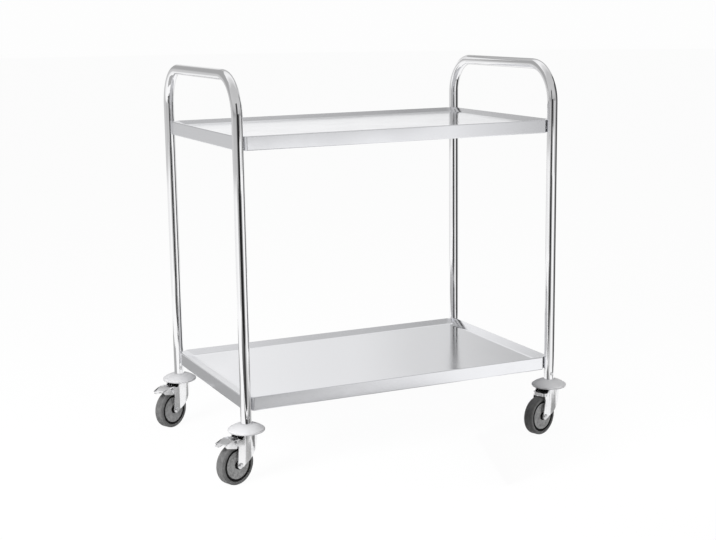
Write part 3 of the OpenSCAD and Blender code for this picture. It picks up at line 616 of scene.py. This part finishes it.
# Name, four corners on the floor, and levels along X
FOOT_CARDS = [
    ("flag_foot_left", [(-0.47, -0.6), (-0.2, -0.52), (-0.31, -0.38), (-0.44, -0.38)],
     [(0, 0.5), (1, 0.36)]),
    ("flag_foot_right", [(0.41, -0.42), (0.47, -0.61), (0.75, -0.5), (0.62, -0.36)],
     [(0, 0.34), (1, 0.34)]),
]
FOOT_CARD_Z = 0.005

# A dark card that keeps part of the light off the front right castor
SHADE = ("shade_right", (0.12, -0.55), (0.24, -0.2), 0.0, 0.26, [(0, 0.02), (1, 0.02)])

CEILING_HALF = 2.4
CEILING_LEVELS = [(0, 0.55), (0.35, 0.55), (0.5, 0.72), (0.68, 0.95), (1, 0.8)]

# Name, place, target, size and power
LAMPS = [
    ("lamp_left", (-2.7, -1.4, 1.8), (0, 0, 0.3), 1.6, 128),
    ("lamp_foot", (0.8, -0.8, 0.2), (0.45, -0.25, 0.05), 0.3, 1.5),
    ("lamp_top", (0.0, -0.4, 3.2), (0, 0, 0.3), 2.4, 34),
]


def glow_material(name, stops, axis):
    """A plain glow whose strength follows stops along one axis of the card's own box."""
    made = bpy.data.materials.new(name)
    made.use_nodes = True
    tree = made.node_tree
    tree.nodes.clear()
    out = tree.nodes.new("ShaderNodeOutputMaterial")
    glow = tree.nodes.new("ShaderNodeEmission")
    place = tree.nodes.new("ShaderNodeTexCoord")
    split = tree.nodes.new("ShaderNodeSeparateXYZ")
    ramp = tree.nodes.new("ShaderNodeValToRGB")
    ramp.color_ramp.interpolation = "EASE"
    while len(ramp.color_ramp.elements) < len(stops):
        ramp.color_ramp.elements.new(0.5)
    for element, (position, level) in zip(ramp.color_ramp.elements, stops):
        element.position = position
        element.color = (level, level, level, 1)
    tree.links.new(place.outputs["Generated"], split.inputs[0])
    tree.links.new(split.outputs[axis], ramp.inputs[0])
    tree.links.new(ramp.outputs[0], glow.inputs["Color"])
    tree.links.new(glow.outputs[0], out.inputs["Surface"])
    return made


def stage_card(name, bm, stops, axis):
    """A studio card that only polished surfaces see."""
    mesh = bpy.data.meshes.new(name)
    bm.to_mesh(mesh)
    bm.free()
    made = bpy.data.objects.new(name, mesh)
    bpy.context.scene.collection.objects.link(made)
    made.data.materials.append(glow_material(name, stops, axis))
    made.visible_camera = False
    made.visible_diffuse = False
    made.visible_transmission = False
    made.visible_shadow = False
    return made


def flat_card(name, corners, stops, axis="X"):
    bm = bmesh.new()
    bm.faces.new([bm.verts.new(c) for c in corners])
    return stage_card(name, bm, stops, axis)


def upright_card(name, start, end, z0, z1, stops):
    """An upright card over two points of the floor."""
    (x0, y0), (x1, y1) = start, end
    return flat_card(name, [(x0, y0, z0), (x1, y1, z0), (x1, y1, z1), (x0, y0, z1)], stops)


def level_card(name, z, start, end, stops, axis="X"):
    """A level card between two opposite corners."""
    (x0, y0), (x1, y1) = start, end
    return flat_card(name, [(x0, y0, z), (x1, y0, z), (x1, y1, z), (x0, y1, z)], stops, axis)


def round_wall(name, radius, start, end, levels):
    """A round studio wall between two angles, counted from +X towards +Y."""
    bm = bmesh.new()
    points = arc(0, 0, radius, start, end, WALL_STEPS)
    foot = [bm.verts.new((x, y, 0)) for x, y in points]
    head = [bm.verts.new((x, y, STUDIO_H)) for x, y in points]
    for i in range(len(points) - 1):
        bm.faces.new((foot[i], foot[i + 1], head[i + 1], head[i]))
    return stage_card(name, bm, [(z / STUDIO_H, level) for z, level in levels], "Z")


def light_path_mix(tree, rays, other, seen):
    """One shader for the kinds of ray named and another for all the rest."""
    path = tree.nodes.new("ShaderNodeLightPath")
    share = path.outputs[rays[0]]
    for ray in rays[1:]:
        either = tree.nodes.new("ShaderNodeMath")
        either.operation = "MAXIMUM"
        tree.links.new(share, either.inputs[0])
        tree.links.new(path.outputs[ray], either.inputs[1])
        share = either.outputs[0]
    mix = tree.nodes.new("ShaderNodeMixShader")
    tree.links.new(share, mix.inputs[0])
    tree.links.new(other, mix.inputs[1])
    tree.links.new(seen, mix.inputs[2])
    return mix.outputs[0]


def build_floor():
    """White where it is seen, with a trace of its own shading, so that it keeps the shadow."""
    bm = bmesh.new()
    bmesh.ops.create_circle(bm, cap_ends=True, segments=64, radius=FLOOR_R)
    mesh = bpy.data.meshes.new("floor")
    bm.to_mesh(mesh)
    bm.free()
    floor = bpy.data.objects.new("floor", mesh)
    bpy.context.scene.collection.objects.link(floor)
    made = bpy.data.materials.new("floor")
    made.use_nodes = True
    tree = made.node_tree
    bsdf = tree.nodes["Principled BSDF"]
    bsdf.inputs["Base Color"].default_value = (*grey(FLOOR_GREY), 1)
    bsdf.inputs["Roughness"].default_value = 0.9
    bsdf.inputs["Specular IOR Level"].default_value = 0.0
    white = tree.nodes.new("ShaderNodeEmission")
    white.inputs["Strength"].default_value = 1.0
    shadowed = tree.nodes.new("ShaderNodeMixShader")
    shadowed.inputs[0].default_value = FLOOR_GLOW
    tree.links.new(bsdf.outputs[0], shadowed.inputs[1])
    tree.links.new(white.outputs[0], shadowed.inputs[2])
    seen = light_path_mix(tree, SEEN_RAYS, bsdf.outputs[0], shadowed.outputs[0])
    tree.links.new(seen, tree.nodes["Material Output"].inputs["Surface"])
    floor.data.materials.append(made)


def build_world():
    world = bpy.data.worlds.new("studio")
    bpy.context.scene.world = world
    world.use_nodes = True
    tree = world.node_tree
    tree.nodes.clear()
    out = tree.nodes.new("ShaderNodeOutputWorld")
    soft = tree.nodes.new("ShaderNodeBackground")
    soft.inputs["Color"].default_value = (1, 1, 1, 1)
    soft.inputs["Strength"].default_value = WORLD_SOFT
    white = tree.nodes.new("ShaderNodeBackground")
    white.inputs["Color"].default_value = (1, 1, 1, 1)
    white.inputs["Strength"].default_value = WORLD_WHITE
    both = light_path_mix(tree, SEEN_RAYS, soft.outputs[0], white.outputs[0])
    tree.links.new(both, out.inputs["Surface"])


def add_lamp(name, place, target, size, power):
    data = bpy.data.lights.new(name, "AREA")
    data.shape = "DISK"
    data.size = size
    data.energy = power
    lamp = bpy.data.objects.new(name, data)
    lamp.location = place
    aim = Vector(target) - Vector(place)
    lamp.rotation_euler = aim.to_track_quat("-Z", "Y").to_euler()
    lamp.visible_glossy = False
    bpy.context.scene.collection.objects.link(lamp)


def add_shade():
    """Unlike the other cards it casts a shadow, and polished surfaces don't see it."""
    shade = upright_card(*SHADE)
    shade.visible_glossy = False
    shade.visible_diffuse = True
    shade.visible_shadow = True


def set_stage():
    build_floor()
    build_world()
    for wall in WALLS:
        round_wall(*wall)
    corner = (CEILING_HALF, CEILING_HALF)
    level_card("ceiling", STUDIO_H, (-CEILING_HALF, -CEILING_HALF), corner, CEILING_LEVELS, "Y")
    for card in UPRIGHT_CARDS:
        upright_card(*card)
    for card in FLOOR_CARDS:
        level_card(*card)
    for name, corners, stops in FOOT_CARDS:
        flat_card(name, [(x, y, FOOT_CARD_Z) for x, y in corners], stops)
    add_shade()
    for lamp in LAMPS:
        add_lamp(*lamp)
    bpy.context.scene.view_settings.view_transform = "Standard"


# Carried-over nodes
def dress_nodes():
    """Every CAD node that stays gets its slot's material."""
    for name, node in NODES.items():
        node.data.materials.clear()
        node.data.materials.append(MATERIALS[SLOT_OF[name]].material)


MATERIALS = make_materials()
set_camera()
dress_nodes()
for tray in ("upper_tray", "lower_tray"):
    build_tray(tray)
for end in ("left_end_frame", "right_end_frame"):
    build_end_frame(end)
finish_small_parts()
set_stage()
